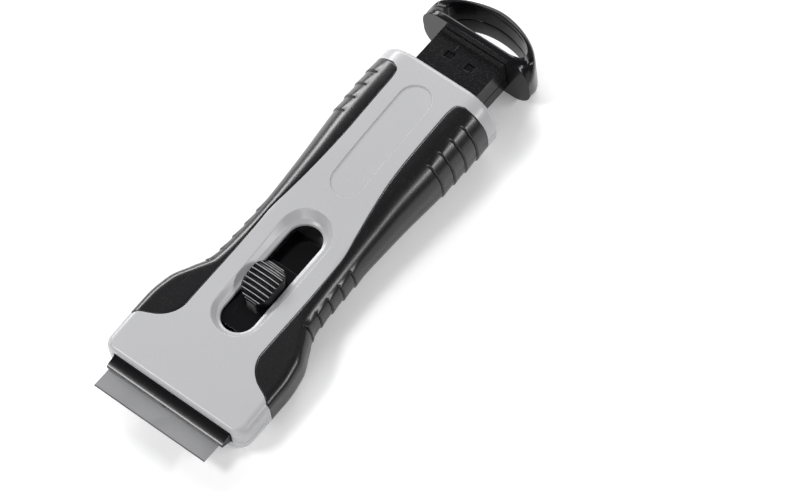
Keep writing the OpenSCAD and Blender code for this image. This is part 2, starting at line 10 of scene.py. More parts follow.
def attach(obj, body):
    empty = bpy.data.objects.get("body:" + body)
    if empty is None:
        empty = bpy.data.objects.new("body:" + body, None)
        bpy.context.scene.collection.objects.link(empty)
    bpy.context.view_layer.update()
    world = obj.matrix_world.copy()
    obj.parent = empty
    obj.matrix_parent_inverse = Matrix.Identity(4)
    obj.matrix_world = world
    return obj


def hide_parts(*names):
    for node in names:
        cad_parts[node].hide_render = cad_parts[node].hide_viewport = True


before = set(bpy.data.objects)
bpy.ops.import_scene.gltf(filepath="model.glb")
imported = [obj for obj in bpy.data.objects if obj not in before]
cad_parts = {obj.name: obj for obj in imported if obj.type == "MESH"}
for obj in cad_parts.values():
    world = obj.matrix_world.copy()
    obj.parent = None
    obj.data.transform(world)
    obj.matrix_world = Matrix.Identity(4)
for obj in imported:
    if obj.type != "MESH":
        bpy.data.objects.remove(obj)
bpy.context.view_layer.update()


# ---- Table top, soft boxes and camera
# The scraper lies on a backlit white acrylic table. Large soft boxes stand on its left and behind it, a
# smaller one in front draws the bright lines on the edges, a strip on the right does so on the grip,
# and a low sheet fills the nose. The camera looks down over the right-hand corner of the nose.
CAMERA_AT = Vector((0.4799, -0.4147, 1.0615))
CAMERA_RIGHT = Vector((0.77359, 0.62759, -0.08761))
CAMERA_UP = Vector((-0.51080, 0.69940, 0.49992))
CAMERA_BACK = Vector((0.3750, -0.3420, 0.8616))
camera_data = bpy.data.cameras.new("camera")
camera_data.lens = 203.27
camera_data.sensor_width = 36
camera_data.sensor_fit = "HORIZONTAL"
camera_data.clip_end = 20
camera = bpy.data.objects.new("camera", camera_data)
turned = Matrix((CAMERA_RIGHT, CAMERA_UP, CAMERA_BACK)).transposed().to_4x4()
camera.matrix_world = Matrix.Translation(CAMERA_AT) @ turned
bpy.context.scene.collection.objects.link(camera)
bpy.context.scene.camera = camera
bpy.context.scene.view_settings.view_transform = "Standard"

table_mesh = bpy.data.meshes.new("table_top")
bm = bmesh.new()
bmesh.ops.create_grid(bm, x_segments=2, y_segments=2, size=3)
bm.to_mesh(table_mesh)
bm.free()
table = bpy.data.objects.new("table_top", table_mesh)
bpy.context.scene.collection.objects.link(table)
table_white = bpy.data.materials.new("table_white")
table_white.use_nodes = True
table_sheet = table_white.node_tree
table_face = table_sheet.nodes["Principled BSDF"]
table_face.inputs["Base Color"].default_value = (0.9, 0.9, 0.905, 1)
table_face.inputs["Roughness"].default_value = 0.6
table_face.inputs["Specular IOR Level"].default_value = 0.2
table_face.inputs["Emission Color"].default_value = (1, 1, 1, 1)
table_face.inputs["Emission Strength"].default_value = 0.2
seen_from_below = table_sheet.nodes.new("ShaderNodeMixShader")
table_side = table_sheet.nodes.new("ShaderNodeNewGeometry")
table_clear = table_sheet.nodes.new("ShaderNodeBsdfTransparent")
table_sheet.links.new(table_side.outputs["Backfacing"], seen_from_below.inputs[0])
table_sheet.links.new(table_face.outputs[0], seen_from_below.inputs[1])
table_sheet.links.new(table_clear.outputs[0], seen_from_below.inputs[2])
table_sheet.links.new(seen_from_below.outputs[0], table_sheet.nodes["Material Output"].inputs["Surface"])
table_mesh.materials.append(table_white)

studio = bpy.data.worlds.new("studio")
studio.use_nodes = True
studio.node_tree.nodes["Background"].inputs["Color"].default_value = (1, 1, 1, 1)
studio.node_tree.nodes["Background"].inputs["Strength"].default_value = 0.16
bpy.context.scene.world = studio


def soft_box(name, at, toward, width, height, watts):
    lamp = bpy.data.lights.new(name, "AREA")
    lamp.shape = "RECTANGLE"
    lamp.size, lamp.size_y, lamp.energy = width, height, watts
    box = bpy.data.objects.new(name, lamp)
    box.location = at
    box.rotation_mode = "QUATERNION"
    box.rotation_quaternion = (Vector(toward) - Vector(at)).to_track_quat("-Z", "Y")
    bpy.context.scene.collection.objects.link(box)


soft_box("rear_soft_box", (-0.42, 0.8, 0.62), (0, 0, 0), 0.7, 0.4, 6.5)
soft_box("left_soft_box", (-0.86, 0.33, 0.4), (0, 0.02, 0), 0.6, 0.22, 6.5)
soft_box("front_soft_box", (-0.38, -0.46, 0.82), (0, 0, 0), 0.3, 0.2, 4.2)
soft_box("low_front_sheet", (0.2, -0.95, 0.4), (0, 0, 0), 0.8, 0.3, 4.0)
soft_box("right_strip_light", (0.74, 0.34, 0.58), (0, 0.02, 0), 0.5, 0.05, 3.4)


# ---- Handle shells: two light grey injection-moulded halves with a satin gloss
# The window and the label recess are above, four sunk screw holes below, and both halves are stepped
# down for the grips. The drawer's rails and the screw bosses of the solids aren't drawn inside.
MM = 0.001
FROM_EDGE = -77.0
NOSE_Y, TAIL_Y = 9.9, 126.2
GRIP_FRONT, GRIP_REAR, GRIP_T = 21.5, 121.2, 1.2
HALF_WIDTHS = [
    (9.9, 24.75), (28, 24.75), (36, 23.7), (42.5, 20.7), (48, 18.2), (55, 17.7), (66, 17.5), (85, 18.1),
    (105, 19.4), (126.2, 19.75),
]
HEIGHTS = [
    (9.9, 11.6), (20, 12.3), (35, 13), (50, 13.3), (60, 13.9), (75, 16), (92, 18.8), (105, 20),
    (116, 20.75), (126.2, 21),
]
TOP_RADII = [(9.9, 2.6), (30, 3), (50, 4.5), (60, 5.2), (75, 6.5), (92, 8), (126.2, 9)]
LOW_RADII = [(9.9, 5.5), (30, 6), (50, 7.4), (75, 8.2), (92, 8.8), (126.2, 9.4)]
BAND_EDGES = [
    (21.5, 24.2), (22, 23.3), (23, 21.8), (23.8, 20), (25, 17.6), (27.2, 15.1), (29.3, 13.8), (32, 13.1),
    (66, 13.1), (75, 11.9), (82, 10.9), (92, 9.9), (100, 9.6), (116, 9.6), (119.4, 10), (120.6, 11),
    (121.2, 12.5),
]
NOSE_CORNER, TAIL_CORNER, END_EDGE, LOW_EDGE = 3.4, 2.2, 1.2, 0.8
WINDOW_FRONT, WINDOW_REAR, WINDOW_HALF, RIM_FRONT, RIM_REAR = 33.2, 71.3, 5.3, 2.35, 3.0
LABEL_FRONT, LABEL_REAR, LABEL_HALF, LABEL_DEPTH = 80.8, 119.7, 5.0, 0.3
WINDOW_DECK, LABEL_DECK, FRONT_DECK_HALF, REAR_DECK_HALF = (27.5, 78.0), (78.6, 120.9), 10.9, 7.6
LIP_FRONT_Z, LIP_TILT = 10.9, 2.6
SCREW_X, SCREW_S = 9.6, (50, 79)
SCREW_HEAD_R, SCREW_HEAD_TOP, SCREW_HOLE_R, SCREW_HOLE_TOP = 2.0, 2.0, 1.05, 12.0
NOSE_MOUTH, TAIL_MOUTH, END_WALL = (20.75, 4.4, 9.6, 0.5), (11.05, 4.4, 16.2, 0.5), 2.2
HOLLOW_IN, HOLLOW_FLOOR, HOLLOW_ROOF, HOLLOW_R = 3, 2.0, 2.2, 2.6
SHELL_GREY = (0.425, 0.425, 0.435, 1)
# Painted highlight: the lighter tone given to the button's rib crests, standing in for the thin lines of
# light along them.
PAINTED_CREST_HIGHLIGHT = (0.3, 0.3, 0.31, 1)


def curve(table, s):
    """Smooth curve through (distance, value) pairs that never overshoots them."""
    n = len(table)
    i = 0
    while i < n - 2 and s >= table[i + 1][0]:
        i += 1
    rise = [(table[k + 1][1] - table[k][1]) / (table[k + 1][0] - table[k][0]) for k in range(n - 1)]

    def slope(k):
        if k in (0, n - 1) or rise[k - 1] * rise[k] <= 0:
            return 0.0
        return 2 / (1 / rise[k - 1] + 1 / rise[k])

    d = table[i + 1][0] - table[i][0]
    u = min(1.0, max(0.0, (s - table[i][0]) / d))
    return (
        (2 * u**3 - 3 * u**2 + 1) * table[i][1] + (u**3 - 2 * u**2 + u) * d * slope(i)
        + (3 * u**2 - 2 * u**3) * table[i + 1][1] + (u**3 - u**2) * d * slope(i + 1)
    )


def drawn_in(u, r):
    """How far an end rounded to radius r draws in, at depth u from that end."""
    return 0.0 if u >= r else r - math.sqrt(max(0.0, r * r - (r - u) ** 2))


def half_w(s):
    return curve(HALF_WIDTHS, s) - drawn_in(s - NOSE_Y, NOSE_CORNER) - drawn_in(TAIL_Y - s, TAIL_CORNER)


def top_z(s):
    return curve(HEIGHTS, s) - drawn_in(s - NOSE_Y, END_EDGE) - drawn_in(TAIL_Y - s, END_EDGE)


def low_z(s):
    return drawn_in(s - NOSE_Y, LOW_EDGE) + drawn_in(TAIL_Y - s, LOW_EDGE)


def seam_z(s):
    return curve(LOW_RADII, s) + 0.9


def band_edge(s, up):
    edge = min(curve(BAND_EDGES, s), half_w(s) - GRIP_T - 0.1)
    return edge if up > 0 else max(edge, half_w(s) - 5)


def skin(bm, rows):
    """A grid of faces laid over rows of points, in millimetres from the blade's edge."""
    across, along = len(rows[0]) - 1, len(rows) - 1
    made = bmesh.ops.create_grid(bm, x_segments=across, y_segments=along, size=1)
    for v in made["verts"]:
        x, s, z = rows[round((v.co.y + 1) / 2 * along)][round((v.co.x + 1) / 2 * across)]
        v.co = Vector((x, s + FROM_EDGE, z)) * MM


def close(bm):
    """Merges the patches and fills the open ends, so that the piece is one closed solid."""
    bmesh.ops.remove_doubles(bm, verts=bm.verts, dist=0.004 * MM)
    bmesh.ops.dissolve_degenerate(bm, edges=bm.edges, dist=0.001 * MM)
    bmesh.ops.holes_fill(bm, edges=[e for e in bm.edges if e.is_boundary], sides=0)
    bmesh.ops.recalc_face_normals(bm, faces=bm.faces)


def solid(bm, name="rough"):
    mesh = bpy.data.meshes.new(name)
    bm.to_mesh(mesh)
    bm.free()
    made = bpy.data.objects.new(name, mesh)
    bpy.context.scene.collection.objects.link(made)
    return made


def cut_away(bm, *tools):
    """The bmesh less the tools, which are bmeshes too."""
    made = solid(bm)
    cutters = [solid(t) for t in tools]
    for cutter in cutters:
        step = made.modifiers.new("cut", "BOOLEAN")
        step.operation, step.solver, step.object = "DIFFERENCE", "EXACT", cutter
    bpy.context.view_layer.update()
    out = bmesh.new()
    out.from_object(made, bpy.context.evaluated_depsgraph_get())
    for o in [made, *cutters]:
        bpy.data.objects.remove(o)
    return out


def piece(name, bm, finish, body, replaced, crease=32, flat_faced=False):
    """A finished piece: edges sharper than crease degrees stay sharp, and the rest is smooth."""
    for e in bm.edges:
        e.smooth = not (e.is_manifold and e.calc_face_angle(0) > math.radians(crease))
    for f in bm.faces:
        f.smooth = True
    made = solid(bm, name)
    made.data.materials.append(finish)
    if flat_faced:
        even = made.modifiers.new("even_flats", "WEIGHTED_NORMAL")
        even.weight, even.keep_sharp = 100, True
    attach(made, body)
    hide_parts(*replaced)
    return made


def group(name, inputs, outputs):
    """A node group with named number inputs and named outputs."""
    tree = bpy.data.node_groups.new(name, "ShaderNodeTree")
    for label, value in inputs:
        given = tree.interface.new_socket(label, in_out="INPUT", socket_type="NodeSocketFloat")
        given.default_value = value
    for label in outputs:
        tree.interface.new_socket(label, in_out="OUTPUT", socket_type="NodeSocketFloat")
    return tree, tree.nodes.new("NodeGroupInput"), tree.nodes.new("NodeGroupOutput")


def node(tree, kind, values=None, **settings):
    made = tree.nodes.new("ShaderNode" + kind)
    for key, value in settings.items():
        setattr(made, key, value)
    for key, value in (values or {}).items():
        if isinstance(value, bpy.types.NodeSocket):
            tree.links.new(value, made.inputs[key])
        else:
            made.inputs[key].default_value = value
    return made


def fine_grain_group():
    """Spark-eroded mould texture: rounded pits over a finer haze."""
    tree, given, put = group("fine_grain", [("Cells per m", 2500.0), ("Haze per m", 9000.0)], ["Height"])
    at = node(tree, "TexCoord").outputs["Object"]
    pits = node(tree, "TexVoronoi", {"Vector": at, "Scale": given.outputs[0]}, feature="SMOOTH_F1")
    haze = node(tree, "TexNoise", {"Vector": at, "Scale": given.outputs[1], "Detail": 2.0})
    low = node(tree, "Math", {0: pits.outputs["Distance"], 1: 1.1}, operation="MULTIPLY")
    high = node(tree, "Math", {0: haze.outputs["Fac"], 1: 0.5, 2: low.outputs[0]}, operation="MULTIPLY_ADD")
    tree.links.new(high.outputs[0], put.inputs["Height"])
    return tree


def handling_group():
    """Where fingers and cloths have been: broad smears and a few fine rubbed lines."""
    numbers = [("Smears per m", 45.0), ("Lines per m", 260.0)]
    tree, given, put = group("handling", numbers, ["Smears", "Lines"])
    at = node(tree, "TexCoord").outputs["Object"]
    smears = node(
        tree, "TexNoise", {"Vector": at, "Scale": given.outputs[0], "Detail": 5.0, "Distortion": 0.6}
    )
    soft = node(tree, "MapRange", {"Value": smears.outputs["Fac"], "From Min": 0.35, "From Max": 0.7})
    drawn = node(tree, "Mapping", {"Vector": at, "Rotation": (0, 0, 0.5), "Scale": (12.0, 0.6, 1.0)})
    lines = node(tree, "TexNoise", {"Vector": drawn.outputs[0], "Scale": given.outputs[1], "Detail": 2.0})
    thin = node(tree, "MapRange", {"Value": lines.outputs["Fac"], "From Min": 0.68, "From Max": 0.74})
    tree.links.new(soft.outputs[0], put.inputs["Smears"])
    tree.links.new(thin.outputs[0], put.inputs["Lines"])
    return tree


FINE_GRAIN = fine_grain_group()
HANDLING = handling_group()


def plastic(
    name, colour, rough, grain=(2500.0, 9000.0), depth=0.02, smear=0.06, tint=0.04, worn=0.02, specular=0.5,
    painted_glint=0.0, highlight_attribute=None,
):
    """Moulded plastic: mould grain in the normal, smears and rubbed lines in the gloss and tone, painted
    glints on the grain's raised pits, and painted highlights on crests marked by an attribute.
    """
    made = bpy.data.materials.new(name)
    made.use_nodes = True
    tree = made.node_tree
    shader = tree.nodes["Principled BSDF"]
    shader.inputs["Specular IOR Level"].default_value = specular
    marks = node(tree, "Group", node_tree=HANDLING)
    texture = node(tree, "Group", {0: grain[0], 1: grain[1]}, node_tree=FINE_GRAIN)
    dull = node(tree, "Math", {0: marks.outputs["Smears"], 1: smear, 2: rough}, operation="MULTIPLY_ADD")
    rubbed = node(
        tree, "Math", {0: marks.outputs["Lines"], 1: smear, 2: dull.outputs[0]}, operation="MULTIPLY_ADD"
    )
    pale = [min(1.0, c + worn) for c in colour[:3]] + [1]
    dark = [c * (1 - tint) for c in colour[:3]] + [1]
    tone = node(tree, "Mix", {"Factor": marks.outputs["Smears"]}, data_type="RGBA")
    tone.inputs[6].default_value, tone.inputs[7].default_value = colour, dark
    rub = node(tree, "Mix", {"Factor": marks.outputs["Lines"]}, data_type="RGBA")
    tree.links.new(tone.outputs[2], rub.inputs[6])
    rub.inputs[7].default_value = pale
    height = texture.outputs["Height"]
    bump = node(tree, "Bump", {"Height": height, "Strength": 1.0, "Distance": depth * MM})
    last = rub.outputs[2]
    # Painted glints: the grain's raised pits are painted lighter, standing in for the specks of light the
    # grain catches.
    if painted_glint:
        raised = node(tree, "MapRange", {"Value": height, "From Min": 0.75, "From Max": 1.05})
        painted_glints = node(tree, "Mix", {"Factor": raised.outputs[0]}, data_type="RGBA")
        tree.links.new(last, painted_glints.inputs[6])
        painted_glints.inputs[7].default_value = [c + painted_glint for c in colour[:3]] + [1]
        last = painted_glints.outputs[2]
    # Painted highlight: where the attribute marks a rib crest, the tone is painted lighter in place of the
    # lines of light along it.
    if highlight_attribute:
        crest_highlight_mask = node(tree, "Attribute", attribute_name=highlight_attribute)
        painted_crests = node(tree, "Mix", {"Factor": crest_highlight_mask.outputs["Fac"]}, data_type="RGBA")
        tree.links.new(last, painted_crests.inputs[6])
        painted_crests.inputs[7].default_value = PAINTED_CREST_HIGHLIGHT
        last = painted_crests.outputs[2]
    tree.links.new(last, shader.inputs["Base Color"])
    tree.links.new(rubbed.outputs[0], shader.inputs["Roughness"])
    tree.links.new(bump.outputs[0], shader.inputs["Normal"])
    return made


def outer_section(s, up):
    """The outside of a shell from its right seam over to its left one, stepped down under the grips."""
    w, r = half_w(s), curve(TOP_RADII if up > 0 else LOW_RADII, s)
    peak, seam = (top_z(s), seam_z(s) + 0.04) if up > 0 else (low_z(s), seam_z(s) - 0.04)
    in_pocket = GRIP_FRONT <= s <= GRIP_REAR
    t, b = (GRIP_T, 0.3) if in_pocket else (0.0, 0.0)
    edge = band_edge(s, up)
    cx, cz, ri = w - r, peak - up * r, r - t
    fold = min(0.12, abs(seam - cz) / 2)
    run = [(w - t - fold, seam), (w - t, seam + up * fold)]
    end = math.acos(max(0.0, min(1.0, (edge - cx) / ri)))
    for i in range(ARC + 1):
        a = end * i / ARC
        run.append((cx + ri * math.cos(a), cz + up * ri * math.sin(a)))
    floor = cz + up * ri * math.sin(end)
    if edge < cx:
        run[-1] = (edge, floor)

    def surface(x):
        return cz + up * (math.sqrt(max(0.0, r * r - (x - cx) ** 2)) if x > cx else r)

    for out, down in ((0.0, 1.0), (0.08, 0.36), (0.3, 0.1), (1.0, 0.0)):
        x = edge - b * out
        run.append((x, surface(x) - up * b * down))
    start = edge - b
    deck = deck_half(s) if up > 0 else UNDERSIDE_HALF
    mid = cx if start > cx else (start + deck) / 2
    for i in range(1, BEND + 1):
        if start > cx:
            a0 = math.acos(min(1.0, (start - cx) / r))
            a = a0 + (math.pi / 2 - a0) * i / BEND
            run.append((cx + r * math.cos(a), cz + up * r * math.sin(a)))
        else:
            run.append((start + (mid - start) * i / BEND, peak))
    for i in range(1, FLAT + 1):
        x = mid + (deck - mid) * i / FLAT
        run.append((x, surface(x)))
    run += [(deck * (1 - 2 * i / FRONT_EDGE), peak) for i in range(1, FRONT_EDGE // 2 + 1)]
    return [(x, s, z) for x, z in run] + [(-x, s, z) for x, z in reversed(run[:-1])]


def spread(a, b, n):
    return [a + (b - a) * (i / n) for i in range(n + 1)]


ARC, BEND, FLAT, EIGHTH, SPREAD_STEPS = 12, 6, 3, 12, 4
FRONT_EDGE = 2 * EIGHTH
UNDERSIDE_HALF = REAR_DECK_HALF


def deck_half(s):
    """Half width of the level middle of the top, which the window and label patches fill."""
    return FRONT_DECK_HALF if s <= 78.3 else REAR_DECK_HALF


def around(front, rear, half, deck_front, deck_rear, straight):
    """Matching points on the unit ring and on the deck's border, one pair for each place round a slot."""
    a, b = front + half, rear - half
    side = spread(a, b, straight)
    near, far = spread(deck_front, a, EIGHTH), spread(b, deck_rear, EIGHTH)
    ring, border = [], []
    for s in side:
        ring.append((1.0, 0.0, s))
        border.append((deck_half(s), s))
    turn = FRONT_EDGE * 2
    for k in range(1, turn):
        angle = math.pi * k / turn
        ring.append((math.cos(angle), math.sin(angle), b))
        if k <= EIGHTH:
            border.append((deck_half(deck_rear), far[k]))
        elif k < turn - EIGHTH:
            border.append((deck_half(deck_rear) * (1 - 2 * (k - EIGHTH) / FRONT_EDGE), deck_rear))
        else:
            border.append((-deck_half(deck_rear), far[turn - k]))
    for s in reversed(side):
        ring.append((-1.0, 0.0, s))
        border.append((-deck_half(s), s))
    for k in range(1, turn):
        angle = math.pi + math.pi * k / turn
        ring.append((math.cos(angle), math.sin(angle), a))
        if k <= EIGHTH:
            border.append((-deck_half(deck_front), near[EIGHTH - k]))
        elif k < turn - EIGHTH:
            border.append((-deck_half(deck_front) * (1 - 2 * (k - EIGHTH) / FRONT_EDGE), deck_front))
        else:
            border.append((deck_half(deck_front), near[k - turn + EIGHTH]))
    return ring + ring[:1], border + border[:1], near, side, far


def slot_patch(bm, places, halves, depth):
    """Rings round a slot, each at a half width, then spread out to the deck's border."""
    ring, border = places[:2]
    rows = []
    for half, extra in halves:
        row = []
        for cx, cs, mid in ring:
            s = mid + cs * half
            row.append((cx * half, s, depth(half, s) + extra))
        rows.append(row)
    last = rows[-1]
    for i in range(1, SPREAD_STEPS + 1):
        row = []
        for (x0, s0, _), (x1, s1) in zip(last, border):
            s = s0 + (s1 - s0) * i / SPREAD_STEPS
            row.append((x0 + (x1 - x0) * i / SPREAD_STEPS, s, top_z(s)))
        rows.append(row)
    skin(bm, rows)


def lip_z(s):
    """The window's lip lies in a plane that rises gently towards the tail."""
    return LIP_FRONT_Z + math.tan(math.radians(LIP_TILT)) * (s - WINDOW_FRONT)


def soft_min(a, b, k):
    h = max(0.0, k - abs(a - b)) / k
    return min(a, b) - h * h * k / 4


def rim_z(half, s):
    """The sunk rim, wider at its rear: a gentle ring, a crease, a steeper wall and a round top edge."""
    lip, top = lip_z(s), top_z(s)
    width = RIM_FRONT + (RIM_REAR - RIM_FRONT) * (s - WINDOW_FRONT) / (WINDOW_REAR - WINDOW_FRONT)
    u = (half - WINDOW_HALF) / width
    ring, wall = 0.5 * u, 0.19 + 1.31 * (u - 0.38)
    rise = -soft_min(-ring, -wall, 0.05)
    return lip + (top - lip) * soft_min(rise, 1.0, 0.07)


def label_z(half, s):
    step = min(1.0, max(0.0, (half - (LABEL_HALF - 0.14)) / 0.22))
    return top_z(s) - LABEL_DEPTH * (1 - step * step * (3 - 2 * step))


window_places = around(WINDOW_FRONT, WINDOW_REAR, WINDOW_HALF, *WINDOW_DECK, 28)
label_places = around(LABEL_FRONT, LABEL_REAR, LABEL_HALF, *LABEL_DECK, 30)
shell_stations = (
    [NOSE_Y + u for u in (0, 0.04, 0.15, 0.3, 0.5, 0.8, 1.2, 1.7, 2.3, 2.9, 3.4)]
    + spread(14, 21.2, 10) + [21.48, 21.5] + spread(21.7, 27.2, 18)
    + window_places[2] + window_places[3][1:] + window_places[4][1:]
    + label_places[2] + label_places[3][1:] + label_places[4][1:]
    + [121.05, 121.2, 121.22]
    + [TAIL_Y - u for u in (4.4, 3.6, 2.9, 2.2, 1.7, 1.2, 0.8, 0.5, 0.3, 0.15, 0.04, 0)]
)
window_halves = (
    [(5.3, -4.0), (5.3, -0.9), (5.3, -0.2), (5.33, -0.1), (5.4, -0.03), (5.5, 0.0)]
    + [(5.65 + 0.11 * i, 0.0) for i in range(31)] + [(9.3, 0.0), (9.8, 0.0)]
)
label_halves = (
    [(0.0, 0.0), (1.6, 0.0), (3.2, 0.0), (4.4, 0.0), (4.8, 0.0)]
    + [(4.86 + 0.022 * i, 0.0) for i in range(11)] + [(5.2, 0.0), (5.5, 0.0)]
)


def shell(up):
    bm = bmesh.new()
    rows = [outer_section(s, up) for s in shell_stations]
    skin(bm, rows)
    if up > 0:
        sunk = []
        for f in bm.faces:
            c = f.calc_center_median() / MM
            s = c.y - FROM_EDGE
            patched = any(front < s < rear for front, rear in (WINDOW_DECK, LABEL_DECK))
            if abs(c.x) < deck_half(s) - 0.05 and patched and c.z > 10:
                sunk.append(f)
        bmesh.ops.delete(bm, geom=sunk, context="FACES")
        slot_patch(bm, window_places, window_halves, rim_z)
        slot_patch(bm, label_places, label_halves, label_z)
    skin(bm, [[row[0], row[-1]] for row in rows])
    close(bm)
    return bm


def hollow():
    """The space inside: a mouth for the jaws, one for the drawer and a roomier middle."""
    stations = [
        (NOSE_Y - 1, NOSE_MOUTH), (NOSE_Y + END_WALL, NOSE_MOUTH), (NOSE_Y + END_WALL + 0.01, None),
        *[(s, None) for s in range(14, 124, 3)],
        (TAIL_Y - END_WALL - 0.01, None), (TAIL_Y - END_WALL, TAIL_MOUTH), (TAIL_Y + 1, TAIL_MOUTH),
    ]
    rows = []
    for s, mouth in stations:
        if mouth:
            w, low, high, r = mouth
        else:
            w, high = curve(HALF_WIDTHS, s) - HOLLOW_IN, curve(HEIGHTS, s) - HOLLOW_ROOF
            low, r = HOLLOW_FLOOR, HOLLOW_R
            if 26 < s < 80:
                high = min(high, lip_z(s) - 1.0)
        row = []
        for sx, sz, a0 in ((1, 1, 0), (-1, 1, 90), (-1, -1, 180), (1, -1, 270)):
            z = high - r if sz > 0 else low + r
            for k in range(6):
                a = math.radians(a0 + 18 * k)
                row.append((sx * (w - r) + r * math.cos(a), s, z + r * math.sin(a)))
        rows.append(row + row[:1])
    bm = bmesh.new()
    skin(bm, rows)
    close(bm)
    return bm


def screw_holes(r, top):
    """Four round holes from below, of radius r and up to height top."""
    bm = bmesh.new()
    for x in (-SCREW_X, SCREW_X):
        for s in SCREW_S:
            at = Matrix.Translation(Vector((x, s + FROM_EDGE, top / 2 - 1)) * MM)
            bmesh.ops.create_cone(
                bm, cap_ends=True, segments=40, radius1=r * MM, radius2=r * MM, depth=(top + 2) * MM,
                matrix=at,
            )
    return bm


shell_grey = plastic(
    "shell_grey_satin", SHELL_GREY, 0.25, grain=(900.0, 5200.0), depth=0.002, smear=0.05, tint=0.025,
    worn=0.02, specular=0.4,
)
upper_half = cut_away(shell(1), hollow())
piece("upper_shell_moulding", upper_half, shell_grey, "handle", ["upper_shell"])
head_recesses = screw_holes(SCREW_HEAD_R, SCREW_HEAD_TOP)
shank_holes = screw_holes(SCREW_HOLE_R, SCREW_HOLE_TOP)
lower_half = cut_away(shell(-1), hollow(), head_recesses, shank_holes)
piece("lower_shell_moulding", lower_half, shell_grey, "handle", ["lower_shell"])


# ---- Soft grips: black thermoplastic rubber moulded on to the sides
# Each wraps from the top of the handle round to its underside, with a fine matt grain and finger
# ridges whose lips overlap like scales towards the blade.
GRIP_BLACK = (0.006, 0.006, 0.007, 1)
FRONT_RIDGES = [46, 51, 56, 61, 66]
REAR_RIDGES = [101.8, 106.65, 111.5, 116.35]
RIDGE_OUT, GROOVE, GROOVE_L, LIP_L, EDGE_ROUND, GRIP_GAP = 0.34, 0.3, 0.4, 0.3, 0.45, 0.06
FRONT_PAD_W, REAR_PAD_W, PAD_FADE = 3.4, 4.8, 1.2
RIDGE_STEPS = [-0.45, -0.4, -0.33, -0.27, -0.2, -0.13, -0.07, 0, 0.08, 0.16, 0.23, 0.3]
RIDGE_STEPS += [0.5, 1, 1.8, 2.8, 3.8]


def ridge(s):
    """Height of the finger ridges: a narrow groove, a round lip, then a long slope down to the next."""
    for starts, pitch in ((FRONT_RIDGES, 5.0), (REAR_RIDGES, 4.85)):
        for r in starts:
            u = s - r
            if -GROOVE_L <= u < 0.0:
                return -GROOVE * math.sin(math.pi * (u + GROOVE_L) / GROOVE_L) ** 2
            if 0.0 <= u < LIP_L:
                return RIDGE_OUT * math.sin(math.pi / 2 * u / LIP_L)
            if LIP_L <= u < pitch - GROOVE_L:
                return RIDGE_OUT * (1 - (u - LIP_L) / (pitch - 0.7)) ** 1.3
    return 0.0


def grip_walk(s, up, raised):
    """Points of a grip's outside from its edge to the seam, set in by the rounding of its borders."""
    w, r = half_w(s), curve(TOP_RADII if up > 0 else LOW_RADII, s)
    peak = top_z(s) if up > 0 else low_z(s)
    cx, cz, edge = w - r, peak - up * r, band_edge(s, up) + GRIP_GAP
    level = max(0.0, cx - edge)
    start = math.pi / 2 if edge < cx else math.acos(min(1.0, (edge - cx) / r))
    length = level + r * start
    steps = [0.0, 0.03, 0.1, 0.22, 0.45] + spread(0.45, length, 20)[1:]
    out = []
    for d in steps:
        a = start - max(0.0, d - level) / r
        x = edge + d if d < level else cx + r * math.cos(a)
        z = peak if d < level else cz + up * r * math.sin(a)
        nx, nz = (0.0, up) if d < level else (math.cos(a), up * math.sin(a))
        fade = min(1.0, max(0.0, (d - (FRONT_PAD_W if s < 80 else REAR_PAD_W)) / PAD_FADE))
        lift = ridge(s) * fade * fade * (3 - 2 * fade) if raised else 0.0
        border = min((s - GRIP_FRONT) * 1.0, GRIP_REAR - s)
        depth = GRIP_T - 0.02 if not raised else drawn_in(d, EDGE_ROUND) + drawn_in(border, EDGE_ROUND)
        out.append((x + nx * (lift - depth), s, z + nz * (lift - depth)))
    return out


def grip_section(s):
    top, low = grip_walk(s, 1, True), grip_walk(s, -1, True)
    inner_top, inner_low = grip_walk(s, 1, False), grip_walk(s, -1, False)
    edge, low_edge = band_edge(s, 1) + GRIP_GAP, band_edge(s, -1) + GRIP_GAP
    inner_top = [(edge, s, inner_top[0][2])] + inner_top[5::4]
    inner_low = [(low_edge, s, inner_low[0][2])] + inner_low[5::4]
    return top + low[::-1] + inner_low + inner_top[::-1] + top[:1]


grip_stations = sorted(
    {GRIP_FRONT + u for u in (0.03, 0.08, 0.16, 0.28, 0.45, 0.65)}
    | {GRIP_REAR - u for u in (0.03, 0.08, 0.16, 0.28, 0.45, 0.7, 1.0, 1.3)}
    | {round(s, 3) for s in spread(22.4, 45, 60)}
    | {round(s, 3) for s in spread(71, 100, 30)} | {118, 118.9, 119.4}
    | {round(r + u, 3) for r in FRONT_RIDGES + REAR_RIDGES for u in RIDGE_STEPS}
)
grip_black = plastic(
    "grip_rubber", GRIP_BLACK, 0.25, grain=(2500.0, 7000.0), depth=0.005, smear=0.04, tint=0.2, worn=0.01,
    specular=0.5, painted_glint=0.006,
)
for side, name, replaced in ((1, "right_grip_rubber", "right_grip"), (-1, "left_grip_rubber", "left_grip")):
    bm = bmesh.new()
    skin(bm, [[(side * x, s, z) for x, s, z in grip_section(s)] for s in grip_stations])
    close(bm)
    piece(name, bm, grip_black, "handle", [replaced], crease=40)


# ---- Jaws: black glass-filled nylon, the lower one running back as the tongue under the window
# The upper jaw is a wedge screwed down on the blade. Their edges are broken to a small radius.
SHARP_FROM, ROUND_SEGMENTS = 25, 2


def rounded_copy(name, width):
    """A CAD node's shape with its doubled corners merged and its sharp edges rounded."""
    bm = bmesh.new()
    bm.from_mesh(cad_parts[name].data)
    bmesh.ops.remove_doubles(bm, verts=bm.verts, dist=0.002 * MM)
    bmesh.ops.dissolve_limit(bm, angle_limit=math.radians(1), verts=bm.verts, edges=bm.edges)
    sharp = [e for e in bm.edges if e.is_manifold and abs(e.calc_face_angle(0)) > math.radians(SHARP_FROM)]
    bmesh.ops.bevel(
        bm, geom=sharp, offset=width * MM, affect="EDGES", segments=ROUND_SEGMENTS, profile=0.5,
        material=-1, clamp_overlap=True,
    )
    bmesh.ops.recalc_face_normals(bm, faces=bm.faces)
    return bm


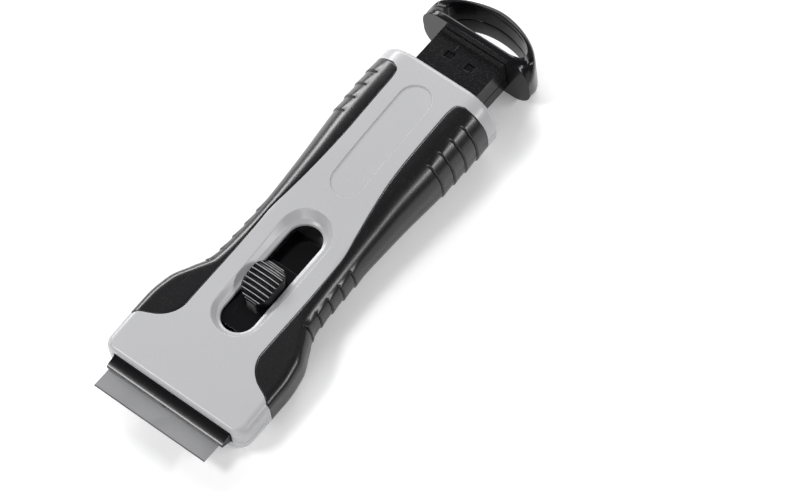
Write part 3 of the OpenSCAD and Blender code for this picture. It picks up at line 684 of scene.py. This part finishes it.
jaw_black = plastic(
    "jaw_nylon", (0.004, 0.004, 0.005, 1), 0.17, grain=(1800.0, 6000.0), depth=0.0008, smear=0.02,
    tint=0.2, worn=0.01, specular=0.35,
)
for name, replaced in (("lower_jaw_and_tongue", "blade_holder"), ("upper_jaw_wedge", "blade_clamp")):
    bm = rounded_copy(replaced, 0.12)
    piece(name, bm, jaw_black, "carriage", [replaced], flat_faced=True)


# ---- Thumb button: one glossy black moulding, crowned both ways and ribbed across the top
# The rib tops are sharp enough to catch the light as thin lines, and a painted highlight makes them
# lighter in tone as well. A flange and two teeth stay under the shell. The bore for the spring, which the
# solid has, isn't drawn.
BUTTON_MID, BUTTON_HALF_W, BUTTON_HALF_L = 49.05, 5.0, 6.15
BUTTON_TOP, BUTTON_CORNER, SKIRT_Z = 15.9, 4.0, 9.6
RIB_PITCH, RIB_COUNT, RIB_DEPTH, RIB_CREST = 1.5, 9, 0.7, 0.15
CROWN_AT, LENGTH_CROWN, WIDTH_CROWN, BUTTON_EDGE, RIBS_FROM = 1.4, 9.5, 40.0, 0.4, -46.0


def button_half(v):
    """Half width of the button at distance v from its middle."""
    return BUTTON_HALF_W - drawn_in(BUTTON_HALF_L - abs(v), BUTTON_CORNER)


def button_z(x, v):
    """The crown peaks behind the middle, and the ribs keep an even pitch along its curve."""
    u = v - CROWN_AT
    crown = LENGTH_CROWN - math.sqrt(LENGTH_CROWN**2 - u * u)
    crown = crown + WIDTH_CROWN - math.sqrt(WIDTH_CROWN**2 - x * x)
    walked = LENGTH_CROWN * (math.asin(u / LENGTH_CROWN) - math.radians(RIBS_FROM))
    inside = min(button_half(v) - abs(x), BUTTON_HALF_L - abs(v))
    fade = min(1.0, max(0.0, (inside - 0.1) / 0.35))
    return BUTTON_TOP - crown - valley(walked) * fade - drawn_in(inside, BUTTON_EDGE)


def valley(walked):
    """Depth below the rib tops: narrow round crests with steep flanks and a pointed floor between them."""
    if not -0.5 * RIB_PITCH < walked < (RIB_COUNT - 0.5) * RIB_PITCH:
        return 0.0
    off = abs((walked / RIB_PITCH + 0.5) % 1.0 - 0.5) * RIB_PITCH
    if off < RIB_CREST:
        return RIB_CREST - math.sqrt(RIB_CREST**2 - off * off * 0.75)
    flank = (off - RIB_CREST) / (RIB_PITCH / 2 - RIB_CREST)
    return RIB_CREST / 2 + (RIB_DEPTH - RIB_CREST / 2) * flank**0.6


lengths = [BUTTON_HALF_L * u for u in (-1, -0.998, -0.99, -0.975, -0.955)]
lengths += spread(-5.8, 5.8, 320) + [-u for u in reversed(lengths)]
sides = [-1, -0.995, -0.98, -0.95, -0.92, -0.89]
sides += spread(-0.86, 0.86, 16) + [-u for u in reversed(sides)]
bm = bmesh.new()
rows = []
for v in lengths:
    half = button_half(v)
    rows.append([(half * u, BUTTON_MID + v, button_z(half * u, v)) for u in sides])
skin(bm, rows)
# Painted highlight mask: 1 along the rib crests, whose tone is painted lighter.
rib_top_highlight = bm.verts.layers.float.new("rib_top_highlight")
for v in bm.verts:
    x, along = v.co.x / MM, v.co.y / MM - FROM_EDGE - BUTTON_MID
    walked = LENGTH_CROWN * (math.asin((along - CROWN_AT) / LENGTH_CROWN) - math.radians(RIBS_FROM))
    inside = min(button_half(along) - abs(x), BUTTON_HALF_L - abs(along))
    v[rib_top_highlight] = 1.0 if inside > 0.3 and 0 < valley(walked) + 1e-6 < RIB_CREST / 2.5 else 0.0
bmesh.ops.remove_doubles(bm, verts=bm.verts, dist=0.004 * MM)
rim = bmesh.ops.extrude_edge_only(bm, edges=[e for e in bm.edges if e.is_boundary])
skirt = [v for v in rim["geom"] if isinstance(v, bmesh.types.BMVert)]
for v in skirt:
    v.co.z = SKIRT_Z * MM
close(bm)


def block(bm, low, high, edge=0.12):
    """A box between two corners, in millimetres from the blade's edge, with rounded edges."""
    made = bmesh.ops.create_cube(bm, size=1)
    low, high = Vector(low), Vector(high)
    for v in made["verts"]:
        v.co = Vector(
            [(low[k] + high[k]) / 2 + v.co[k] * (high[k] - low[k]) for k in range(3)]
        ) * MM + Vector((0, FROM_EDGE * MM, 0))
    if edge:
        edges = list(dict.fromkeys(e for v in made["verts"] for e in v.link_edges))
        bmesh.ops.bevel(
            bm, geom=edges, offset=edge * MM, affect="EDGES", segments=2, profile=0.5, material=-1,
            clamp_overlap=True,
        )


block(bm, (-6.6, 34.6, 8.7), (6.6, 57.8, 9.6))
for x in (-6.1, 6.1):
    block(bm, (x - 0.5, 48.25, 9.4), (x + 0.5, 49.85, 10.1))
button_black = plastic(
    "button_gloss", (0.004, 0.004, 0.005, 1), 0.16, grain=(1500.0, 5000.0), depth=0.001, smear=0.03,
    tint=0.2, worn=0.01, specular=0.35, highlight_attribute="rib_top_highlight",
)
piece(
    "thumb_button_moulding", bm, button_black, "button", ["thumb_button"], crease=50,
    flat_faced=True,
)


# ---- Drawer: a tray and its lid, black with a spark-eroded grain
# The lid closes the outer end over the stored blades and is held through its two square windows.
# A fine rib runs from each window, and the joint between the two shows as a groove down each side.
drawer_black = plastic(
    "drawer_grain", (0.005, 0.005, 0.006, 1), 0.2, grain=(2500.0, 7000.0), depth=0.004, smear=0.04,
    tint=0.2, worn=0.01, specular=0.3, painted_glint=0.012,
)
piece(
    "drawer_tray", rounded_copy("store_tray", 0.15), drawer_black, "drawer", ["store_tray"],
    flat_faced=True,
)
bm = rounded_copy("store_lid", 0.22)
for x, s0, s1 in ((-3.2, 135.3, 138.2), (4.1, 132.2, 133.0)):
    block(bm, (x - 0.2, s0, 15.8), (x + 0.2, s1, 16.08), edge=0.1)
piece("drawer_lid", bm, drawer_black, "drawer", ["store_lid"], flat_faced=True)


# ---- Pull loop: the glossy black end cap of the drawer with its hanging loop
# One moulding: a thin oval plate over the tail, with a bow behind it for a finger or a hook. The inside
# of the bow is stepped where the mould halves meet. Two snap arms reach into the lid's windows.
CAP_FRONT, LOOP_END, CAP_HALF, CAP_CORNER, PLATE_T, DRAW_IN = 140.6, 154.0, 18.8, 7.5, 0.8, 1.1
HOLE_HALF, HOLE_FRONT, HOLE_REAR, HOLE_CORNER = 13.9, 142.6, 151.3, 3.0
LOOP_TOP = [(140.6, 19.3), (142.3, 19.3), (144.2, 17.5), (145.2, 17.1), (154, 17.0)]
LOOP_LOW = [(140.6, 0.4), (143.2, 0.6), (148, 1.6), (151.6, 3.6), (154, 4.5)]
LOOP_EDGE, HOLE_EDGE, BOW_IN, BOW_DOWN = 0.22, 0.12, 1.7, 3.0
MOULD_STEP, RIM_STEP, STEP_OUT = 10.0, 1.5, 0.35


def loop_face(x, s, up):
    """Height of the loop's top or underside: the plate's oval outline, tapering to the bow's far end."""
    out = max(0.0, abs(x) - (CAP_HALF - CAP_CORNER))
    corner = CAP_CORNER - math.sqrt(max(0.0, CAP_CORNER**2 - out * out))
    if up > 0:
        return soft_min(curve(LOOP_TOP, s), LOOP_TOP[0][1] - corner, 0.6)
    return -soft_min(-curve(LOOP_LOW, s), -LOOP_LOW[0][1] - corner, 0.6)


def loop_places():
    """Matching points on the outline and the hole, with how far round the bow each lies, from 0 to 1."""
    mid = HOLE_FRONT + HOLE_CORNER
    places = []
    for i in range(97):
        a = math.pi * i / 96
        c, s = math.cos(a), math.sin(a)
        reach = LOOP_END - CAP_FRONT - PLATE_T
        out = math.copysign(CAP_HALF * abs(c) ** DRAW_IN, c), CAP_FRONT + PLATE_T + reach * s**DRAW_IN
        places.append((out, (HOLE_HALF * c, mid + (HOLE_REAR - mid) * s), 1 - (1 - s) ** 2))
    corner_x = HOLE_HALF - HOLE_CORNER
    left = []
    for i in range(1, 9):
        a = math.pi / 2 * i / 8
        out = -CAP_HALF + max(0.0, i - 3) * 0.25, CAP_FRONT + PLATE_T * max(0.0, 1 - i / 3)
        left.append((out, (-corner_x - HOLE_CORNER * math.cos(a), mid - HOLE_CORNER * math.sin(a)), 0.0))
    places += left
    start = -left[-1][0][0]
    for i in range(1, 48):
        u = -1 + i / 24
        places.append(((start * u, CAP_FRONT), (corner_x * u, HOLE_FRONT), 0.0))
    places += [((-o[0], o[1]), (-h[0], h[1]), k) for o, h, k in reversed(left)]
    return places + places[:1]


def loop_row(out, hole, bow):
    """Once round the loop's wall: outer face, top, inner face with its steps, and underside."""
    thick = math.dist(out, hole)
    deep = LOOP_EDGE + (BOW_IN - LOOP_EDGE) * bow
    down = LOOP_EDGE + (BOW_DOWN - LOOP_EDGE) * bow

    def at(d, drop, up):
        x, s = (out[k] + (hole[k] - out[k]) * d / thick for k in (0, 1))
        return x, s, loop_face(x, s, up) - up * drop

    top, low = [], []
    for i in range(9):
        a = math.pi / 2 * i / 8
        top.append(at(deep * (1 - math.cos(a)), down * (1 - math.sin(a)), 1))
        low.append(at(deep * (1 - math.cos(a)), down * (1 - math.sin(a)), -1))
    stepped = min(1.0, bow * 3)
    recess = STEP_OUT * stepped
    for i in range(1, 4):
        d = deep + (thick - recess - HOLE_EDGE - deep) * i / 4
        top.append(at(d, 0, 1))
        low.append(at(deep + (thick - HOLE_EDGE - deep) * i / 4, 0, -1))
    for i in range(6):
        a = math.pi / 2 * i / 5
        drop = HOLE_EDGE * (1 - math.cos(a))
        top.append(at(thick - recess - HOLE_EDGE * (1 - math.sin(a)), drop, 1))
        low.append(at(thick - HOLE_EDGE * (1 - math.sin(a)), drop, -1))
    ledge = MOULD_STEP - 2.0 * (hole[0] / 12) ** 2
    edge_z = top[-1][2]
    wall = [
        (recess, edge_z - RIM_STEP), (recess - 0.16 * stepped, edge_z - RIM_STEP - 0.12),
        (recess - 0.2 * stepped, ledge + 0.2), (recess + 0.1 * stepped, ledge + 0.1),
        (recess + 0.1 * stepped, ledge), (0.12 * stepped, ledge - 0.05), (0.0, ledge - 0.22),
        (0.0, ledge - 2.2),
    ]
    inner = []
    for back, z in wall:
        x, s, _ = at(thick - back, 0, 1)
        inner.append((x, s, z))
    return top + inner + low[::-1] + top[:1]


bm = bmesh.new()
skin(bm, [loop_row(*place) for place in loop_places()])
close(bm)
for x in (-3.6, 3.6):
    block(bm, (x - 1.1, 133.1, 13.0), (x + 1.1, 141.2, 14.5), edge=0.1)
    block(bm, (x - 1.1, 133.1, 13.5), (x + 1.1, 134.9, 15.6), edge=0.1)
loop_black = plastic(
    "loop_gloss", (0.004, 0.004, 0.005, 1), 0.19, grain=(900.0, 4000.0), depth=0.0008, smear=0.03,
    tint=0.2, worn=0.01, specular=0.25,
)
piece(
    "pull_loop_moulding", bm, loop_black, "drawer", ["pull_loop"], crease=45, flat_faced=True
)


# ---- Blades: rolled carbon steel, ground along one edge, with a folded sheet-steel back
# One works in the jaws and four lie in the drawer. The rolling leaves fine lines along the strip,
# and the ground edge is darker than the face.
ROLLED_DEPTH = 0.004


def steel(name, colour, rough, lines=(1.0, 40.0, 1.0), per_m=900.0, ground=None):
    """Bare steel with rolling or turning lines, stains in its tone, and a darker ground strip if told."""
    made = bpy.data.materials.new(name)
    made.use_nodes = True
    tree = made.node_tree
    shader = tree.nodes["Principled BSDF"]
    shader.inputs["Metallic"].default_value = 1.0
    at = node(tree, "TexCoord").outputs["Object"]
    drawn = node(tree, "Mapping", {"Vector": at, "Scale": lines})
    rolled = node(tree, "TexNoise", {"Vector": drawn.outputs[0], "Scale": per_m, "Detail": 3.0})
    marks = node(tree, "Group", {0: 90.0, 1: 500.0}, node_tree=HANDLING)
    tone = node(tree, "Mix", {"Factor": rolled.outputs["Fac"]}, data_type="RGBA")
    tone.inputs[6].default_value = [c * 0.86 for c in colour[:3]] + [1]
    tone.inputs[7].default_value = [min(1.0, c * 1.12) for c in colour[:3]] + [1]
    stain = node(tree, "Mix", {"Factor": marks.outputs["Smears"]}, data_type="RGBA")
    tree.links.new(tone.outputs[2], stain.inputs[6])
    stain.inputs[7].default_value = [c * 0.84 for c in colour[:3]] + [1]
    last = stain.outputs[2]
    dull = node(tree, "Math", {0: marks.outputs["Smears"], 1: 0.1, 2: rough}, operation="MULTIPLY_ADD")
    if ground:
        where = node(tree, "SeparateXYZ", {"Vector": at})
        strip = node(
            tree, "MapRange", {"Value": where.outputs["Y"], "From Min": ground[0], "From Max": ground[1]}
        )
        dark = node(tree, "Mix", {"Factor": strip.outputs[0]}, data_type="RGBA")
        dark.inputs[6].default_value = [c * 0.3 for c in colour[:3]] + [1]
        tree.links.new(last, dark.inputs[7])
        last = dark.outputs[2]
    bump = node(
        tree, "Bump", {"Height": rolled.outputs["Fac"], "Strength": 0.6, "Distance": ROLLED_DEPTH * MM}
    )
    tree.links.new(last, shader.inputs["Base Color"])
    tree.links.new(dull.outputs[0], shader.inputs["Roughness"])
    tree.links.new(bump.outputs[0], shader.inputs["Normal"])
    return made


def dress(name, finish):
    """A CAD node that is right as it is gets its finish."""
    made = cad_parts[name]
    made.data.materials.clear()
    made.data.materials.append(finish)


ground_strip = (FROM_EDGE + 0.3) * MM, (FROM_EDGE + 0.4) * MM
working_steel = steel("working_blade_steel", (0.36, 0.36, 0.37, 1), 0.4, ground=ground_strip)
spare_steel = steel("spare_blade_steel", (0.50, 0.50, 0.51, 1), 0.36, lines=(40.0, 1.0, 1.0))
spine_steel = steel("folded_back_steel", (0.72, 0.72, 0.73, 1), 0.28, lines=(1.0, 18.0, 18.0))
dress("blade", working_steel)
dress("blade_spine", spine_steel)
for i in range(1, 5):
    dress(f"spare_blade_{i}", spare_steel)
    dress(f"spare_spine_{i}", spine_steel)


# ---- Screws and spring: zinc-plated steel screws with crossed slots, and a wound wire spring
# Four screws clamp the shells from below and two the jaws. The spring stands on the tongue.
zinc_steel = steel("zinc_plated_steel", (0.62, 0.62, 0.60, 1), 0.32, lines=(6.0, 6.0, 1.0), per_m=400.0)
spring_wire = steel("spring_wire", (0.55, 0.55, 0.56, 1), 0.25, lines=(1.0, 1.0, 30.0))
dress("shell_screws", zinc_steel)
dress("jaw_screws", zinc_steel)
dress("button_spring", spring_wire)
